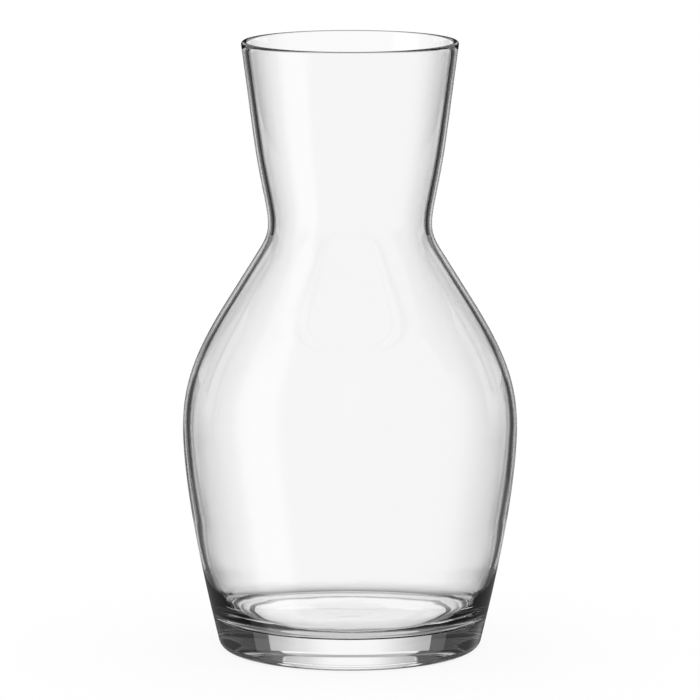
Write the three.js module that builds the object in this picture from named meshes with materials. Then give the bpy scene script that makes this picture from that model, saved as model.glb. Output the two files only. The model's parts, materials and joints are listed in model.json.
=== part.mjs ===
// Wine carafe blown in one piece of clear glass: flared neck, drawn-in waist, full belly and a heavy foot.
// Lengths in millimetres, +Z up, origin on the table in the middle of the foot.

import * as THREE from 'three';

// Outside, from the rim down
const height = 204;             // table to the top of the rim
const mouthRadius = 36.05;      // widest place of the rim
const neckFootHeight = 150.7;   // where the neck begins to turn into the shoulder
const neckFootRadius = 28.2;
const waistTurnDrop = 17.8;     // height of that turn
const waistTurnSpread = 2.85;   // how much wider the turn ends than it begins
const shoulderDrop = 15.7;      // height of the straight cone below the turn
const bellyHeight = 75;         // widest place of the body
const bellyRadius = 55.8;
const taperHeight = 44;         // where the belly has become the taper, and the inside begins to swell
const taperRadius = 52.66;
const footRadius = 43.35;       // where the lower wall would meet the table without its rounded heel
const footStraight = 8.5;       // height of the straight stretch above the table
const heelRadius = 3.65;        // rounding between the lower wall and the standing ring

// Slope of the wall, in degrees from upright
const mouthFlare = 7.7;
const neckFlare = 11.3;
const shoulderSlope = 32;
const taperSlope = 9.4;
const footTaper = 13.4;

// Glass and inside
const rimThickness = 1.65;
const wallThickness = 1.9;      // at the belly
const floorHeight = 10.9;       // inside floor at the edge of its dome
const floorRise = 0.4;          // dome of the inside floor
const floorRadius = 36;

// Underside
const standingRingInner = 35.5; // inner edge of the flat ring that the carafe stands on
const recessDepth = 1.6;        // level recess inside the ring
const recessStep = 2.5;         // width of the soft step from the ring up to the recess

// Handles of each cubic stretch, as shares of its chord
const neckHandles = [0.71, 0.38];
const waistHandles = [0.55, 0.39];
const bellyHandles = [0.415, 0.335];
const flankHandles = [0.257, 0.405];
const lowerWallHandles = [0.296, 0.367];
const innerHeelHandles = [0.8, 0.2];
const floorHandles = [0.4, 0.4];
const recessHandles = [0.45, 0.45];

// Facets
const sides = 56;
const steps = {
  halfRim: 3,
  neck: 4,
  waist: 6,
  belly: 7,
  flank: 3,
  lowerWall: 3,
  innerHeel: 10,
  heel: 3,
  recess: 3,
  floor: 3,
};

const up = (degrees) => {
  const angle = THREE.MathUtils.degToRad(degrees);
  return new THREE.Vector2(Math.sin(angle), Math.cos(angle));
};
const down = (degrees) => up(degrees).negate();
const inward = (tangent) => new THREE.Vector2(tangent.y, -tangent.x);

// Cubic stretch that leaves start along one direction and reaches end along another
function stretch(start, leaving, end, arriving, [startHandle, endHandle]) {
  const chord = start.distanceTo(end);
  const first = start.clone().addScaledVector(leaving, startHandle * chord);
  const second = end.clone().addScaledVector(arriving, -endHandle * chord);
  return new THREE.CubicBezierCurve(start, first, second, end);
}

// Points of a curve with its direction at each
function sample(curve, count) {
  return Array.from({ length: count + 1 }, (_, i) => ({
    point: curve.getPoint(i / count),
    tangent: curve.getTangent(i / count),
  }));
}

function arcPoints(centre, radius, fromDegrees, toDegrees, count) {
  return Array.from({ length: count + 1 }, (_, i) => {
    const angle = THREE.MathUtils.degToRad(THREE.MathUtils.lerp(fromDegrees, toDegrees, i / count));
    return new THREE.Vector2(Math.cos(angle), Math.sin(angle)).multiplyScalar(radius).add(centre);
  });
}

// Outside of the wall, stretch by stretch, from the rim down
const rimRound = rimThickness / 2;
const rimCentre = new THREE.Vector2(mouthRadius - rimRound, height - rimRound);
const rimPoints = [
  ...arcPoints(rimCentre, rimRound, -mouthFlare, 90, steps.halfRim),
  ...arcPoints(rimCentre, rimRound, 90, 180 - mouthFlare, steps.halfRim).slice(1),
];
const neckFoot = new THREE.Vector2(neckFootRadius, neckFootHeight);
const shoulderTop = neckFoot.clone().add(new THREE.Vector2(waistTurnSpread, -waistTurnDrop));
const shoulderDown = up(-shoulderSlope).negate();
const shoulderFoot = shoulderTop.clone().addScaledVector(shoulderDown, -shoulderDrop / shoulderDown.y);
const belly = new THREE.Vector2(bellyRadius, bellyHeight);
const taper = new THREE.Vector2(taperRadius, taperHeight);
const footDown = down(footTaper);
const footCorner = new THREE.Vector2(footRadius, 0);
const footTop = footCorner.clone().addScaledVector(footDown, footStraight / footDown.y);

const neck = stretch(rimPoints[0], down(mouthFlare), neckFoot, down(neckFlare), neckHandles);
const waist = stretch(neckFoot, down(neckFlare), shoulderTop, shoulderDown, waistHandles);
const shoulder = new THREE.LineCurve(shoulderTop, shoulderFoot);
const bellyCurve = stretch(shoulderFoot, shoulderDown, belly, down(0), bellyHandles);
const flank = stretch(belly, down(0), taper, down(taperSlope), flankHandles);
const lowerWall = stretch(taper, down(taperSlope), footTop, footDown, lowerWallHandles);

// Rounded heel between the straight foot and the standing ring
const heelReach = heelRadius * Math.tan(THREE.MathUtils.degToRad((90 - footTaper) / 2));
const heelCentre = new THREE.Vector2(footRadius - heelReach, heelRadius);
const heelPoints = arcPoints(heelCentre, heelRadius, -footTaper, -90, steps.heel);

// Inside of the wall: the outside moved in by the thickness of the glass, then a swell into the floor
const upperWall = [
  ...sample(neck, steps.neck),
  ...sample(waist, steps.waist).slice(1),
  ...sample(shoulder, 1).slice(1),
  ...sample(bellyCurve, steps.belly).slice(1),
  ...sample(flank, steps.flank).slice(1),
];

function glassThickness(level) {
  const share = THREE.MathUtils.clamp((level - bellyHeight) / (rimPoints[0].y - bellyHeight), 0, 1);
  return THREE.MathUtils.lerp(wallThickness, rimThickness, share);
}

const innerWall = upperWall.map(({ point, tangent }) => {
  return point.clone().addScaledVector(inward(tangent), glassThickness(point.y));
});
const towardsAxis = new THREE.Vector2(-1, 0);
const floorEdge = new THREE.Vector2(floorRadius, floorHeight);
const floorCentre = new THREE.Vector2(0, floorHeight + floorRise);
const innerHeel = stretch(innerWall.at(-1), down(taperSlope), floorEdge, towardsAxis, innerHeelHandles);
const floor = stretch(floorEdge, towardsAxis, floorCentre, towardsAxis, floorHandles);

// Underside: flat standing ring, then a soft step up to a level recess
const ringInner = new THREE.Vector2(standingRingInner, 0);
const recessEdge = new THREE.Vector2(standingRingInner - recessStep, recessDepth);
const recessCentre = new THREE.Vector2(0, recessDepth);
const recess = stretch(ringInner, towardsAxis, recessEdge, towardsAxis, recessHandles);

// The whole section, counter-clockwise from the recess's middle over foot, wall and rim to the inside floor
const section = [
  recessCentre,
  ...recess.getPoints(steps.recess).reverse(),
  ...heelPoints.reverse(),
  ...lowerWall.getPoints(steps.lowerWall).reverse(),
  ...upperWall.slice(0, -1).map(({ point }) => point).reverse(),
  ...rimPoints.slice(1, -1),
  ...innerWall,
  ...innerHeel.getPoints(steps.innerHeel).slice(1),
  ...floor.getPoints(steps.floor).slice(1),
];

const clearGlass = new THREE.MeshStandardMaterial({
  color: 0xeef2f1,
  roughness: 0.02,
  metalness: 0,
  transparent: true,
  opacity: 0.35,
});

const glassBody = new THREE.Mesh(new THREE.LatheGeometry(section, sides), clearGlass);
glassBody.name = 'glass_body';
glassBody.rotation.x = Math.PI / 2;

const carafe = new THREE.Group();
carafe.add(glassBody);

export default carafe;
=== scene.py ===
import json
import math
import bpy
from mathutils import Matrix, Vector

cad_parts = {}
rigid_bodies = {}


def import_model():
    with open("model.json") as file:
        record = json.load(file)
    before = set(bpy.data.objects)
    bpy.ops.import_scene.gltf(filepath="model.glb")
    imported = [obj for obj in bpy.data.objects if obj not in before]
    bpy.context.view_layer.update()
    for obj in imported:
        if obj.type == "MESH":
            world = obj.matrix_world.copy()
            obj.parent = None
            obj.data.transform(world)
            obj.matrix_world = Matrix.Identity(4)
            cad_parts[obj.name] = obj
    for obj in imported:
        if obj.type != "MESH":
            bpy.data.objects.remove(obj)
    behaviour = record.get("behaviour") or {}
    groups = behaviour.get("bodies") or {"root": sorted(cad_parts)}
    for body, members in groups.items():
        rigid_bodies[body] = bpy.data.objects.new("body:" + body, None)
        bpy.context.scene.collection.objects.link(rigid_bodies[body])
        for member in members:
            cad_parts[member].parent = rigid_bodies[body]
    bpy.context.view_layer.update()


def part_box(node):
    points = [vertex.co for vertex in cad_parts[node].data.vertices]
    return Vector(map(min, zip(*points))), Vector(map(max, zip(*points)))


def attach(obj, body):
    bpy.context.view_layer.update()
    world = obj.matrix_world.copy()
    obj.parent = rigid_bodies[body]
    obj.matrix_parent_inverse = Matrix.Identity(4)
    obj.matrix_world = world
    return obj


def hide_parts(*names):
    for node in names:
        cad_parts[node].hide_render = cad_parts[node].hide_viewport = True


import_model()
mm = 0.001


def addNode(tree, kind, inputs=None, **settings):
    node = tree.nodes.new(kind)
    for name, value in settings.items():
        setattr(node, name, value)
    for key, value in (inputs or {}).items():
        if isinstance(value, bpy.types.NodeSocket):
            tree.links.new(value, node.inputs[key])
        else:
            node.inputs[key].default_value = value
    return node


def linearColour(hexCode):  # sRGB hex to the linear values that shaders take
    channels = [int(hexCode[i:i + 2], 16) / 255 for i in (1, 3, 5)]
    return [c / 12.92 if c <= 0.04045 else ((c + 0.055) / 1.055) ** 2.4 for c in channels] + [1.0]


def newMaterial(name):
    material = bpy.data.materials.new(name)
    material.use_nodes = True
    material.node_tree.nodes.clear()
    return material, material.node_tree


def newObject(name, data):
    thing = bpy.data.objects.new(name, data)
    bpy.context.collection.objects.link(thing)
    return thing


# The camera stands as far and as high as the photograph's own perspective asks
photoView = {
    "distance": 1952.7,  # mm, level, from the carafe's axis
    "height": 407.7,  # mm above the table
    "aimHeight": 100.5,  # mm up the axis, at the middle of the picture
    "focalPixels": 5928.4,
    "framePixels": 700,
    "sensorWidth": 36.0,
    "reach": 100.0,  # m
}


def makeCamera():
    data = bpy.data.cameras.new("photoCamera")
    data.sensor_width = photoView["sensorWidth"]
    data.lens = photoView["focalPixels"] / photoView["framePixels"] * photoView["sensorWidth"]
    data.clip_end = photoView["reach"]
    camera = newObject("photoCamera", data)
    camera.location = Vector((0, -photoView["distance"], photoView["height"])) * mm
    aim = Vector((0, 0, photoView["aimHeight"])) * mm
    camera.rotation_mode = "QUATERNION"
    camera.rotation_quaternion = (aim - camera.location).to_track_quat("-Z", "Y")
    bpy.context.scene.camera = camera
    return camera


camera = makeCamera()
print("camera placed")


# Soda-lime glass, blown and fire polished: clear, mirror smooth, dark only where its edges bend the room in
sodaLime = {
    "tint": "#fefefe",
    "ior": 1.52,
    "roughness": 0.0,
    "peelLength": 9.0,  # mm, faint waves that the mould leaves on the skin
    "peelDetail": 1.0,
    "peelHeight": 0.004,  # mm
}


def makeGlass():
    material, tree = newMaterial("sodaLimeGlass")
    place = addNode(tree, "ShaderNodeTexCoord").outputs["Object"]
    peel = addNode(tree, "ShaderNodeTexNoise", {
        "Vector": place,
        "Scale": 1 / (sodaLime["peelLength"] * mm),
        "Detail": sodaLime["peelDetail"],
    })
    skin = addNode(tree, "ShaderNodeBump", {
        "Height": peel.outputs[0],
        "Distance": sodaLime["peelHeight"] * mm,
    })
    surface = addNode(tree, "ShaderNodeBsdfPrincipled", {
        "Base Color": linearColour(sodaLime["tint"]),
        "Roughness": sodaLime["roughness"],
        "IOR": sodaLime["ior"],
        "Transmission Weight": 1.0,
        "Normal": skin.outputs[0],
    })
    addNode(tree, "ShaderNodeOutputMaterial", {"Surface": surface.outputs["BSDF"]})
    return material


glassMaterial = makeGlass()


# The glass body in mm: places on its section are (radius, height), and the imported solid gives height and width
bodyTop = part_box("glass_body")[1]
bodyHeight = bodyTop[2] / mm
bellyRadius = bodyTop[0] / mm
glassBody = {
    "mouthRadius": 36.05,
    "rimThickness": 1.95,
    "wallThickness": 2.15,
    "taperSwell": 0.2,  # how much thicker the wall is at the taper
    "neckFoot": (28.2, 150.7),
    "shoulderTop": (31.05, 132.9),
    "shoulderDrop": 15.7,
    "bellyHeight": 75.0,
    "taper": (52.66, 44.0),
    "footRadius": 43.35,  # where the lower wall would meet the table without its rounded heel
    "footStraight": 8.5,
    "heelRadius": 3.65,
    "standingRingInner": 35.5,
    "recessDepth": 1.6,
    "recessStep": 2.5,  # width of the step from the ring up to the recess
    "floorRadius": 36.5,
    "floorHeight": 10.9,
    "floorRise": 0.8,
    "rippleHeight": 0.12,  # wrinkles that the mould's chill leaves inside the foot
    "rippleLength": 14.0,  # along a wrinkle
    "rippleSpacing": 2.2,  # from one wrinkle to the next
    "rippleDetail": 2.0,
    "rippleTop": 30.0,  # height where they have died out
    "rippleInner": 42.5,  # from the axis, where the floor has become the wall
    "waveHeight": 0.02,  # slow waves of the blown inside wall
    "waveLength": 22.0,
    "waveDetail": 0.0,
    "weldReach": 0.012,
    "sides": 192,
    "slopes": {  # of the wall in degrees from upright; positive where it leans in on the way down
        "mouthFlare": 7.7,
        "neckFlare": 11.3,
        "shoulderSlope": -32.0,
        "taperSlope": 9.4,
        "footTaper": 13.4,
    },
    "stretches": {  # two handles, as shares of the chord, and rows of faces
        "neck": (0.71, 0.38, 30),
        "waist": (0.55, 0.39, 36),
        "shoulder": (0.33, 0.33, 8),
        "belly": (0.415, 0.335, 40),
        "flank": (0.257, 0.405, 24),
        "lowerWall": (0.296, 0.367, 24),
        "footWall": (0.33, 0.33, 4),
        "ring": (0.33, 0.33, 6),
        "recessStep": (0.45, 0.45, 16),
        "recessRoof": (0.33, 0.33, 12),
        "innerHeel": (0.42, 0.26, 64),
        "floor": (0.62, 0.5, 30),
    },
    "arcRows": {"rim": 20, "heel": 16},
    "curveSteps": {"stretch": 200, "arc": 80},  # points of each curve that the rows are read from
}


def sectionPoint(radius, height):
    return Vector((radius, 0, height))


def outward(slope):  # direction straight out of a wall of that slope
    angle = math.radians(slope)
    return sectionPoint(math.cos(angle), -math.sin(angle))


def stationsOfBody():
    body = glassBody
    slopes = body["slopes"]
    rimRound = body["rimThickness"] / 2
    rimCentre = sectionPoint(body["mouthRadius"] - rimRound, bodyHeight - rimRound)
    shoulderTop = sectionPoint(*body["shoulderTop"])
    shoulderReach = -body["shoulderDrop"] * math.tan(math.radians(slopes["shoulderSlope"]))
    taper = sectionPoint(*body["taper"])
    taperThickness = body["wallThickness"] + body["taperSwell"]
    footReach = body["footStraight"] * math.tan(math.radians(slopes["footTaper"]))
    heelReach = body["heelRadius"] * math.tan(math.radians(90 - slopes["footTaper"]) / 2)
    heelCentre = sectionPoint(body["footRadius"] - heelReach, body["heelRadius"])
    return {
        "rimCentre": rimCentre,
        "neckTop": rimCentre + outward(slopes["mouthFlare"]) * rimRound,
        "neckFoot": sectionPoint(*body["neckFoot"]),
        "shoulderTop": shoulderTop,
        "shoulderFoot": shoulderTop + sectionPoint(shoulderReach, -body["shoulderDrop"]),
        "bellyWidest": sectionPoint(bellyRadius, body["bellyHeight"]),
        "taper": taper,
        "footTop": sectionPoint(body["footRadius"] + footReach, body["footStraight"]),
        "heelTop": heelCentre + outward(slopes["footTaper"]) * body["heelRadius"],
        "heelCentre": heelCentre,
        "heelFoot": sectionPoint(heelCentre.x, 0),
        "ringInner": sectionPoint(body["standingRingInner"], 0),
        "recessEdge": sectionPoint(body["standingRingInner"] - body["recessStep"], body["recessDepth"]),
        "recessCentre": sectionPoint(0, body["recessDepth"]),
        "innerTaper": taper - outward(slopes["taperSlope"]) * taperThickness,
        "floorEdge": sectionPoint(body["floorRadius"], body["floorHeight"]),
        "floorCentre": sectionPoint(0, body["floorHeight"] + body["floorRise"]),
    }


def newTree(name, inputs, output):
    tree = bpy.data.node_groups.new(name, "GeometryNodeTree")
    for label, kind in inputs.items():
        tree.interface.new_socket(label, in_out="INPUT", socket_type=f"NodeSocket{kind}")
    tree.interface.new_socket(output, in_out="OUTPUT", socket_type="NodeSocketGeometry")
    return tree, addNode(tree, "NodeGroupInput").outputs


def revolveTree():  # turns a section curve round the upright axis
    tree, given = newTree("revolveSection", {"Section": "Geometry", "Rows": "Int", "Sides": "Int"}, "Mesh")
    columns = addNode(tree, "ShaderNodeMath", {0: given["Sides"], 1: 1.0}, operation="ADD")
    rows = addNode(tree, "ShaderNodeMath", {0: given["Rows"], 1: 1.0}, operation="ADD")
    grid = addNode(tree, "GeometryNodeMeshGrid", {
        "Size X": 1.0, "Size Y": 1.0, "Vertices X": columns.outputs[0], "Vertices Y": rows.outputs[0]})
    place = addNode(tree, "GeometryNodeInputPosition")
    onGrid = addNode(tree, "ShaderNodeSeparateXYZ", {0: place.outputs[0]})
    share = addNode(tree, "ShaderNodeMath", {0: onGrid.outputs["Y"], 1: 0.5}, operation="ADD")
    turn = addNode(tree, "ShaderNodeMath", {0: onGrid.outputs["X"], 1: -2 * math.pi}, operation="MULTIPLY")
    onSection = addNode(tree, "GeometryNodeSampleCurve", {
        "Curves": given["Section"], "Factor": share.outputs[0]}, use_all_curves=True)
    turned = addNode(tree, "ShaderNodeVectorRotate", {
        "Vector": onSection.outputs["Position"], "Angle": turn.outputs[0]}, rotation_type="Z_AXIS")
    moved = addNode(tree, "GeometryNodeSetPosition", {
        "Geometry": grid.outputs["Mesh"], "Position": turned.outputs[0]})
    addNode(tree, "NodeGroupOutput", {"Mesh": moved.outputs[0]})
    return tree


def stretchTree(revolve):  # one cubic stretch of the section, leaving and arriving along given directions
    tree, given = newTree("sectionStretch", {
        "Start": "Vector", "Leaving": "Vector", "Start Share": "Float",
        "End": "Vector", "Arriving": "Vector", "End Share": "Float",
        "Rows": "Int", "Sides": "Int",
    }, "Mesh")
    chord = addNode(tree, "ShaderNodeVectorMath", {0: given["Start"], 1: given["End"]}, operation="DISTANCE")
    handles = []
    for point, direction, sign in (("Start", "Leaving", 1.0), ("End", "Arriving", -1.0)):
        reach = addNode(tree, "ShaderNodeMath", {
            0: chord.outputs["Value"], 1: given[f"{point} Share"]}, operation="MULTIPLY")
        signed = addNode(tree, "ShaderNodeMath", {0: reach.outputs[0], 1: sign}, operation="MULTIPLY")
        arm = addNode(tree, "ShaderNodeVectorMath", {
            0: given[direction], "Scale": signed.outputs[0]}, operation="SCALE")
        handle = addNode(tree, "ShaderNodeVectorMath", {0: given[point], 1: arm.outputs[0]}, operation="ADD")
        handles.append(handle.outputs[0])
    curve = addNode(tree, "GeometryNodeCurvePrimitiveBezierSegment", {
        "Resolution": glassBody["curveSteps"]["stretch"],
        "Start": given["Start"], "Start Handle": handles[0],
        "End Handle": handles[1], "End": given["End"]}, mode="POSITION")
    mesh = addNode(tree, "GeometryNodeGroup", {
        "Section": curve.outputs[0], "Rows": given["Rows"], "Sides": given["Sides"]}, node_tree=revolve)
    addNode(tree, "NodeGroupOutput", {"Mesh": mesh.outputs["Mesh"]})
    return tree


def glassTree(revolve, stretch, sizes):  # the whole carafe from the stations and sizes of its section
    kinds = {int: "Int", float: "Float", tuple: "Vector"}
    inputs = {name: kinds[type(value)] for name, value in sizes.items()}
    tree, given = newTree("carafeGlass", {**inputs, "Glass": "Material"}, "Geometry")
    downWall = {
        name: addNode(tree, "ShaderNodeVectorRotate", {
            "Vector": (0, 0, -1), "Angle": given[name]}, rotation_type="Y_AXIS").outputs[0]
        for name in glassBody["slopes"]
    }
    station = {
        name: addNode(tree, "ShaderNodeSeparateXYZ", {0: given[name]}).outputs
        for name in ("neckTop", "neckFoot", "bellyWidest", "taper", "floorEdge", "floorCentre")
    }

    def strip(name, start, leaving, end, arriving):
        startShare, endShare, rows = glassBody["stretches"][name]
        return addNode(tree, "GeometryNodeGroup", {
            "Start": given[start], "Leaving": leaving, "Start Share": startShare,
            "End": given[end], "Arriving": arriving, "End Share": endShare,
            "Rows": rows, "Sides": given["sides"],
        }, node_tree=stretch, label=name).outputs["Mesh"]

    def arc(name, centre, radius, startAngle, sweep):  # a round of the section
        curve = addNode(tree, "GeometryNodeCurveArc", {
            "Resolution": glassBody["curveSteps"]["arc"], "Radius": radius,
            "Start Angle": startAngle, "Sweep Angle": sweep}, mode="RADIUS")
        stood = addNode(tree, "GeometryNodeTransform", {
            "Geometry": curve.outputs[0], "Translation": given[centre], "Rotation": (math.pi / 2, 0, 0)})
        return addNode(tree, "GeometryNodeGroup", {
            "Section": stood.outputs[0], "Rows": glassBody["arcRows"][name], "Sides": given["sides"],
        }, node_tree=revolve, label=name).outputs["Mesh"]

    def weld(meshes):
        joined = addNode(tree, "GeometryNodeJoinGeometry")
        for mesh in meshes:
            tree.links.new(mesh, joined.inputs[0])
        return addNode(tree, "GeometryNodeMergeByDistance", {
            "Geometry": joined.outputs[0], "Distance": given["weldReach"]}).outputs[0]

    def ripples(vector, scale, detail, height, fade):  # noise of a height to both sides, times its fade
        noise = addNode(tree, "ShaderNodeTexNoise", {"Vector": vector, "Scale": scale, "Detail": detail})
        swing = addNode(tree, "ShaderNodeMapRange", {
            "Value": noise.outputs[0], "To Min": -1.0, "To Max": 1.0})
        tall = addNode(tree, "ShaderNodeMath", {0: swing.outputs[0], 1: height}, operation="MULTIPLY")
        return addNode(tree, "ShaderNodeMath", {0: tall.outputs[0], 1: fade}, operation="MULTIPLY").outputs[0]

    # outside, from the rim down to the recess
    inwards = (-1, 0, 0)
    upright = (0, 0, -1)
    shoulderWay, taperWay, footWay = (downWall[name] for name in ("shoulderSlope", "taperSlope", "footTaper"))
    upperWall = weld([
        strip("neck", "neckTop", downWall["mouthFlare"], "neckFoot", downWall["neckFlare"]),
        strip("waist", "neckFoot", downWall["neckFlare"], "shoulderTop", shoulderWay),
        strip("shoulder", "shoulderTop", shoulderWay, "shoulderFoot", shoulderWay),
        strip("belly", "shoulderFoot", shoulderWay, "bellyWidest", upright),
        strip("flank", "bellyWidest", upright, "taper", taperWay),
    ])
    heelStart = addNode(tree, "ShaderNodeMath", {0: given["footTaper"], 1: -1.0}, operation="MULTIPLY")
    heelSweep = addNode(tree, "ShaderNodeMath", {
        0: -math.pi / 2, 1: heelStart.outputs[0]}, operation="SUBTRACT")
    foot = [
        strip("lowerWall", "taper", taperWay, "footTop", footWay),
        strip("footWall", "footTop", footWay, "heelTop", footWay),
        arc("heel", "heelCentre", given["heelRadius"], heelStart.outputs[0], heelSweep.outputs[0]),
        strip("ring", "heelFoot", inwards, "ringInner", inwards),
        strip("recessStep", "ringInner", inwards, "recessEdge", inwards),
        strip("recessRoof", "recessEdge", inwards, "recessCentre", inwards),
    ]
    rimRound = addNode(tree, "ShaderNodeMath", {0: given["rimThickness"], 1: 0.5}, operation="MULTIPLY")
    rimStart = addNode(tree, "ShaderNodeMath", {0: math.pi, 1: given["mouthFlare"]}, operation="SUBTRACT")
    rim = arc("rim", "rimCentre", rimRound.outputs[0], rimStart.outputs[0], -math.pi)

    # inside: the upper wall moved in by the thickness of the glass, then the swell into the floor
    place = addNode(tree, "GeometryNodeInputPosition").outputs[0]
    normal = addNode(tree, "GeometryNodeInputNormal").outputs[0]
    height = addNode(tree, "ShaderNodeSeparateXYZ", {0: place}).outputs["Z"]
    thinning = addNode(tree, "ShaderNodeMapRange", {
        "Value": height, "From Min": station["neckFoot"]["Z"], "From Max": station["neckTop"]["Z"],
        "To Min": given["wallThickness"], "To Max": given["rimThickness"]})
    swelling = addNode(tree, "ShaderNodeMapRange", {
        "Value": height, "From Min": station["taper"]["Z"], "From Max": station["bellyWidest"]["Z"],
        "To Min": given["taperSwell"], "To Max": 0.0})
    thickness = addNode(tree, "ShaderNodeMath", {
        0: thinning.outputs[0], 1: swelling.outputs[0]}, operation="ADD")
    inward = addNode(tree, "ShaderNodeMath", {0: thickness.outputs[0], 1: -1.0}, operation="MULTIPLY")
    inwardStep = addNode(tree, "ShaderNodeVectorMath", {
        0: normal, "Scale": inward.outputs[0]}, operation="SCALE")
    innerWall = addNode(tree, "GeometryNodeSetPosition", {
        "Geometry": upperWall, "Offset": inwardStep.outputs[0]})
    inside = weld([
        innerWall.outputs[0],
        strip("innerHeel", "innerTaper", taperWay, "floorEdge", inwards),
        strip("floor", "floorEdge", inwards, "floorCentre", inwards),
    ])

    # wrinkles inside the foot, which leave the floor clear and die out up the wall
    wrinkleScale = addNode(tree, "ShaderNodeCombineXYZ", {
        "X": given["rippleAlong"], "Y": given["rippleAlong"], "Z": given["rippleAcross"]})
    wrinklePlace = addNode(tree, "ShaderNodeVectorMath", {
        0: place, 1: wrinkleScale.outputs[0]}, operation="MULTIPLY")
    dyingOut = addNode(tree, "ShaderNodeMapRange", {
        "Value": height, "From Min": station["floorCentre"]["Z"], "From Max": given["rippleTop"],
        "To Min": 1.0, "To Max": 0.0}, interpolation_type="SMOOTHSTEP")
    flattened = addNode(tree, "ShaderNodeVectorMath", {0: place, 1: (1, 1, 0)}, operation="MULTIPLY")
    radius = addNode(tree, "ShaderNodeVectorMath", {0: flattened.outputs[0]}, operation="LENGTH")
    clearOfFloor = addNode(tree, "ShaderNodeMapRange", {
        "Value": radius.outputs["Value"],
        "From Min": station["floorEdge"]["X"], "From Max": given["rippleInner"]})
    wrinkleFade = addNode(tree, "ShaderNodeMath", {
        0: dyingOut.outputs[0], 1: clearOfFloor.outputs[0]}, operation="MULTIPLY")
    wrinkles = ripples(wrinklePlace.outputs[0], 1.0, given["rippleDetail"], given["rippleHeight"],
                       wrinkleFade.outputs[0])

    # slow waves all over the inside, which die out towards the rim
    waveFade = addNode(tree, "ShaderNodeMapRange", {
        "Value": height, "From Min": station["bellyWidest"]["Z"], "From Max": station["neckTop"]["Z"],
        "To Min": 1.0, "To Max": 0.0})
    waves = ripples(place, given["waveScale"], given["waveDetail"], given["waveHeight"], waveFade.outputs[0])
    lift = addNode(tree, "ShaderNodeMath", {0: wrinkles, 1: waves}, operation="ADD")
    liftStep = addNode(tree, "ShaderNodeVectorMath", {0: normal, "Scale": lift.outputs[0]}, operation="SCALE")
    rippled = addNode(tree, "GeometryNodeSetPosition", {"Geometry": inside, "Offset": liftStep.outputs[0]})
    turnedIn = addNode(tree, "GeometryNodeFlipFaces", {"Mesh": rippled.outputs[0]})

    whole = weld([upperWall, *foot, rim, turnedIn.outputs[0]])
    smooth = addNode(tree, "GeometryNodeSetShadeSmooth", {"Geometry": whole})
    realized = addNode(tree, "GeometryNodeRealizeInstances", {"Geometry": smooth.outputs[0]})
    finished = addNode(tree, "GeometryNodeSetMaterial", {
        "Geometry": realized.outputs[0], "Material": given["Glass"]})
    addNode(tree, "NodeGroupOutput", {"Geometry": finished.outputs[0]})
    return tree


def makeGlassBody():
    body = glassBody
    sizes = {name: tuple(point * mm) for name, point in stationsOfBody().items()}
    for name in ("rimThickness", "wallThickness", "taperSwell", "heelRadius", "rippleHeight", "rippleTop",
                 "rippleInner", "waveHeight", "weldReach"):
        sizes[name] = body[name] * mm
    for name, slope in body["slopes"].items():
        sizes[name] = math.radians(slope)
    sizes["rippleAlong"] = 1 / (body["rippleLength"] * mm)
    sizes["rippleAcross"] = 1 / (body["rippleSpacing"] * mm)
    sizes["rippleDetail"] = body["rippleDetail"]
    sizes["waveScale"] = 1 / (body["waveLength"] * mm)
    sizes["waveDetail"] = body["waveDetail"]
    sizes["sides"] = body["sides"]
    revolve = revolveTree()
    tree = glassTree(revolve, stretchTree(revolve), sizes)
    blank = newObject("glassBlank", bpy.data.meshes.new("glassBlank"))
    modifier = blank.modifiers.new("blow", "NODES")
    modifier.node_group = tree
    for item in tree.interface.items_tree:
        if item.item_type == "SOCKET" and item.in_out == "INPUT":
            modifier[item.identifier] = glassMaterial if item.name == "Glass" else sizes[item.name]
    evaluated = blank.evaluated_get(bpy.context.evaluated_depsgraph_get())
    mesh = bpy.data.meshes.new_from_object(evaluated)
    mesh.name = "carafe_glass"
    bpy.data.objects.remove(blank)
    piece = newObject("carafe_glass", mesh)
    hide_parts("glass_body")
    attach(piece, "root")
    return piece


carafe = makeGlassBody()
print("glass body:", len(carafe.data.polygons), "faces")


# White table: shows as paper white, and keeps the carafe's soft shadow
table = {
    "colour": "#ffffff",
    "glow": 0.88,  # share of the white that no shadow takes away
    "paper": "#646464",
    "reach": 30.0,  # m
    "gap": 0.05,  # mm below the standing ring
}


def makeTable():
    material, tree = newMaterial("whitePaper")
    ray = addNode(tree, "ShaderNodeLightPath").outputs
    paper = addNode(tree, "ShaderNodeBsdfDiffuse", {"Color": linearColour(table["paper"])})
    lit = addNode(tree, "ShaderNodeMath", {0: ray["Is Camera Ray"], 1: table["glow"]}, operation="MULTIPLY")
    glow = addNode(tree, "ShaderNodeEmission", {
        "Color": linearColour(table["colour"]), "Strength": lit.outputs[0]})
    both = addNode(tree, "ShaderNodeAddShader", {0: paper.outputs[0], 1: glow.outputs[0]})
    addNode(tree, "ShaderNodeOutputMaterial", {"Surface": both.outputs[0]})
    half = table["reach"] / 2
    corners = [(-half, -half, 0), (half, -half, 0), (half, half, 0), (-half, half, 0)]
    mesh = bpy.data.meshes.new("tableTop")
    mesh.from_pydata(corners, [], [(0, 1, 2, 3)])
    mesh.materials.append(material)
    plane = newObject("tableTop", mesh)
    plane.location.z = -table["gap"] * mm
    plane.visible_transmission = False  # in the glass the cards stand for the table
    plane.visible_glossy = False


makeTable()
print("table laid")


# Cards round the turntable, on the camera's stand, each a little nearer than the one before. Only the glass sees
# them, so their levels are painted reflections and painted shade: dark cards for its dark edges, greyer ones for
# the shaded table, bright ones for its highlights
studio = {
    "radius": 1.1,  # m
    "distance": 1.98,  # m, camera to the carafe
    "stagger": 0.01,  # m between cards
    "facet": 4,  # degrees
    "fewestFacets": 2,
    "world": "#ffffff",
    "worldStrength": 1.0,
}
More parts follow.
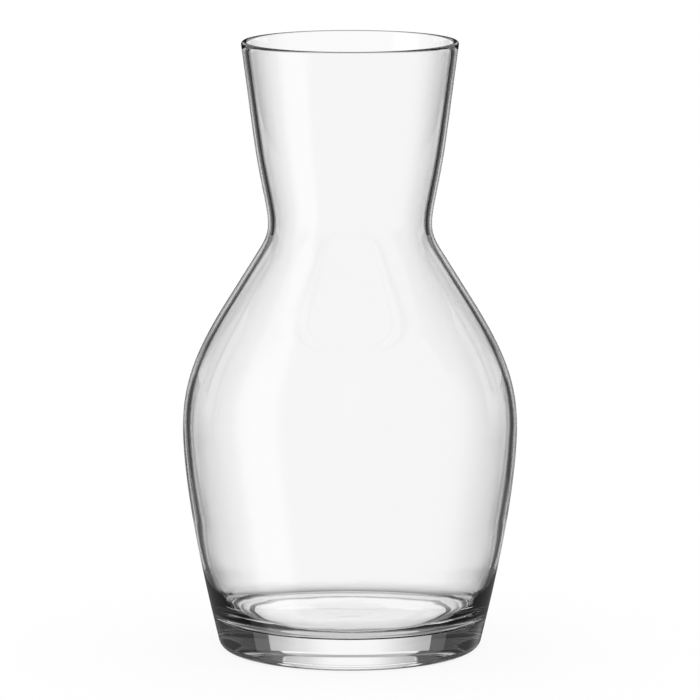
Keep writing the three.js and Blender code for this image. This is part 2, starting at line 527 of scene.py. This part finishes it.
# Bearing and climb are degrees off the line of view, and a pair hangs on the left as well as on the right.
# Level is 1 for white: it fades to edge over the soft degrees at both sides, and rises from lowLevel over the
# lowSoft degrees at the bottom. Flare is a wider soft side low on a card, and the degrees up the card between
# which it narrows
cards = {
    "everywhere": {
        # painted shade: the dark all round, which the glass shows along its edges
        "curtain": {"level": 0.03, "bearing": (-180, 180), "climb": (-89, 89)},
        "room": {"level": 0.62, "edge": 0.03, "bearing": (66, 307), "soft": 44, "climb": (-89, 89)},
    },
    "throughGlass": {
        # painted shadow: the white table in the carafe's shade, as the glass shows it below
        "paintedFloorShade": {"level": 0.22, "bearing": (-90, 90), "climb": (-60, -28)},
        # painted shade: the table under the foot, only half lit, as the glass shows it
        "underTable": {"level": 0.6, "bearing": (-90, 90), "climb": (-89, -52)},
        # painted shade: the dark bands inside the glass beside the white back card
        "greyMargin": {"level": 0.09, "bearing": (-33, 33), "climb": (-45, 60)},
        # the white back card; low down it is painted shade of the table, darker towards the bottom and at its
        # sides
        "backCard": {"level": 1.0, "edge": 0.09, "bearing": (-22.5, 22.5), "soft": 2, "climb": (-46, 40),
                     "lowLevel": 0.25, "lowSoft": 30, "flare": (21, 36, 45)},
        # painted light: a bright strip low down at each side of the back card, seen only through the glass
        "strip": {"level": 1.0, "edge": 0.4, "bearing": (16, 22), "soft": 2, "climb": (-10, 1), "pair": True},
        # painted shade: the back card greyer high up, as the glass shows it
        "upperBack": {"level": 0.45, "edge": 0.09, "bearing": (-22.5, 22.5), "soft": 2, "climb": (18.5, 40)},
        # painted light and shade for the foot: white in the middle and greyer to the sides, as the glass shows
        # it
        "footCard": {"level": 1.0, "edge": 0.45, "bearing": (-25.5, 25.5), "soft": 21, "climb": (4.5, 8.3)},
        "footBar": {"level": 1.0, "edge": 0.5, "bearing": (-21, 21), "soft": 17, "climb": (13.5, 18.5)},
    },
    "inReflections": {
        # painted reflections of the table, shaded: lighter behind the carafe, darker at its sides
        "tableEnd": {"level": 0.35, "edge": 0.04, "bearing": (-18, 18), "soft": 6, "climb": (-45, -1)},
        "tableSides": {"level": 0.15, "bearing": (-80, 80), "climb": (-45, -8)},
        # painted highlights: bright sheets above and at the sides, seen only in reflections, which light the
        # rim's ends and the glass near its edges
        "sky": {"level": 1.0, "edge": 0.04, "bearing": (7, 34), "soft": 5, "climb": (16, 85),
                "lowLevel": 0.04, "lowSoft": 8, "pair": True},
        "wall": {"level": 1.0, "edge": 0.04, "bearing": (46, 75), "soft": 6, "climb": (-7, 30),
                 "lowLevel": 0.04, "lowSoft": 11, "pair": True},
        "top": {"level": 1.0, "edge": 0.04, "bearing": (34, 63), "soft": 6, "climb": (9, 80), "pair": True},
        # painted highlight: a bright patch on the left of the glass, seen only in reflections; it lights nothing
        "paintedHighlightBox": {"level": 1.72, "edge": 0.62, "bearing": (-136, -91), "soft": 12, "climb": (-60, 60)},
    },
}


def cardMaterial(name, card, width, height):  # plain emission, on the card's own UV map
    material, tree = newMaterial(name)
    material.cycles.emission_sampling = "NONE"
    level = card["level"]
    if "edge" in card:
        middle = 0.5
        cardMap = addNode(tree, "ShaderNodeUVMap")
        onCard = addNode(tree, "ShaderNodeSeparateXYZ", {0: cardMap.outputs[0]}).outputs
        aside = addNode(tree, "ShaderNodeMath", {0: onCard["X"], 1: middle}, operation="SUBTRACT")
        offMiddle = addNode(tree, "ShaderNodeMath", {0: aside.outputs[0]}, operation="ABSOLUTE")
        inner = middle - card["soft"] / width
        if "flare" in card:
            softBelow, start, end = card["flare"]
            inner = addNode(tree, "ShaderNodeMapRange", {
                "Value": onCard["Y"], "From Min": start / height, "From Max": end / height,
                "To Min": middle - softBelow / width, "To Max": inner}).outputs[0]
        level = addNode(tree, "ShaderNodeMapRange", {
            "Value": offMiddle.outputs[0], "From Min": inner, "From Max": middle,
            "To Min": card["level"], "To Max": card["edge"]}, interpolation_type="SMOOTHSTEP").outputs[0]
        if "lowSoft" in card:
            level = addNode(tree, "ShaderNodeMapRange", {
                "Value": onCard["Y"], "From Min": 0.0, "From Max": card["lowSoft"] / height,
                "To Min": card["lowLevel"], "To Max": level}).outputs[0]
    light = addNode(tree, "ShaderNodeEmission", {"Strength": level})
    addNode(tree, "ShaderNodeOutputMaterial", {"Surface": light.outputs[0]})
    return material


def makeCard(name, card, bearings, radius):  # a patch of a sphere round the carafe
    (left, right), (low, high) = bearings, card["climb"]
    columns = max(studio["fewestFacets"], math.ceil((right - left) / studio["facet"]))
    rows = max(studio["fewestFacets"], math.ceil((high - low) / studio["facet"]))
    points, places, faces = [], [], []
    for row in range(rows + 1):
        for column in range(columns + 1):
            place = (column / columns, row / rows)
            bearing = math.radians(left + (right - left) * place[0])
            climb = math.radians(low + (high - low) * place[1])
            points.append(Vector((math.sin(bearing) * math.cos(climb), math.sin(climb),
                                  -math.cos(bearing) * math.cos(climb))) * radius)
            places.append(place)
    for row in range(rows):
        for column in range(columns):
            corner = row * (columns + 1) + column
            faces.append((corner, corner + 1, corner + columns + 2, corner + columns + 1))
    mesh = bpy.data.meshes.new(name)
    mesh.from_pydata(points, [], faces)
    layer = mesh.uv_layers.new(name="card")
    for loop in mesh.loops:
        layer.data[loop.index].uv = places[loop.vertex_index]
    mesh.materials.append(cardMaterial(name, card, right - left, high - low))
    sheet = newObject(name, mesh)
    sheet.visible_camera = False
    sheet.visible_diffuse = False
    sheet.visible_shadow = False
    sheet.parent = camera
    sheet.location = (0, 0, -studio["distance"])
    return sheet


def hangCards():
    hung = 0
    for where, group in cards.items():
        for name, card in group.items():
            near, far = card["bearing"]
            spans = {name: (near, far)}
            if card.get("pair"):
                spans = {f"left{name.capitalize()}": (-far, -near), f"right{name.capitalize()}": (near, far)}
            for label, bearings in spans.items():
                sheet = makeCard(label, card, bearings, studio["radius"] - hung * studio["stagger"])
                sheet.visible_glossy = where != "throughGlass"
                sheet.visible_transmission = where != "inReflections"
                hung += 1
    return hung


print("cards hung:", hangCards())


def makeWorld():
    world = bpy.data.worlds.new("whiteStudio")
    bpy.context.scene.world = world
    world.use_nodes = True
    tree = world.node_tree
    tree.nodes.clear()
    back = addNode(tree, "ShaderNodeBackground", {
        "Color": linearColour(studio["world"]), "Strength": studio["worldStrength"]})
    addNode(tree, "ShaderNodeOutputWorld", {"Surface": back.outputs[0]})


makeWorld()
bpy.context.scene.view_settings.view_transform = "Standard"
print("studio lit")
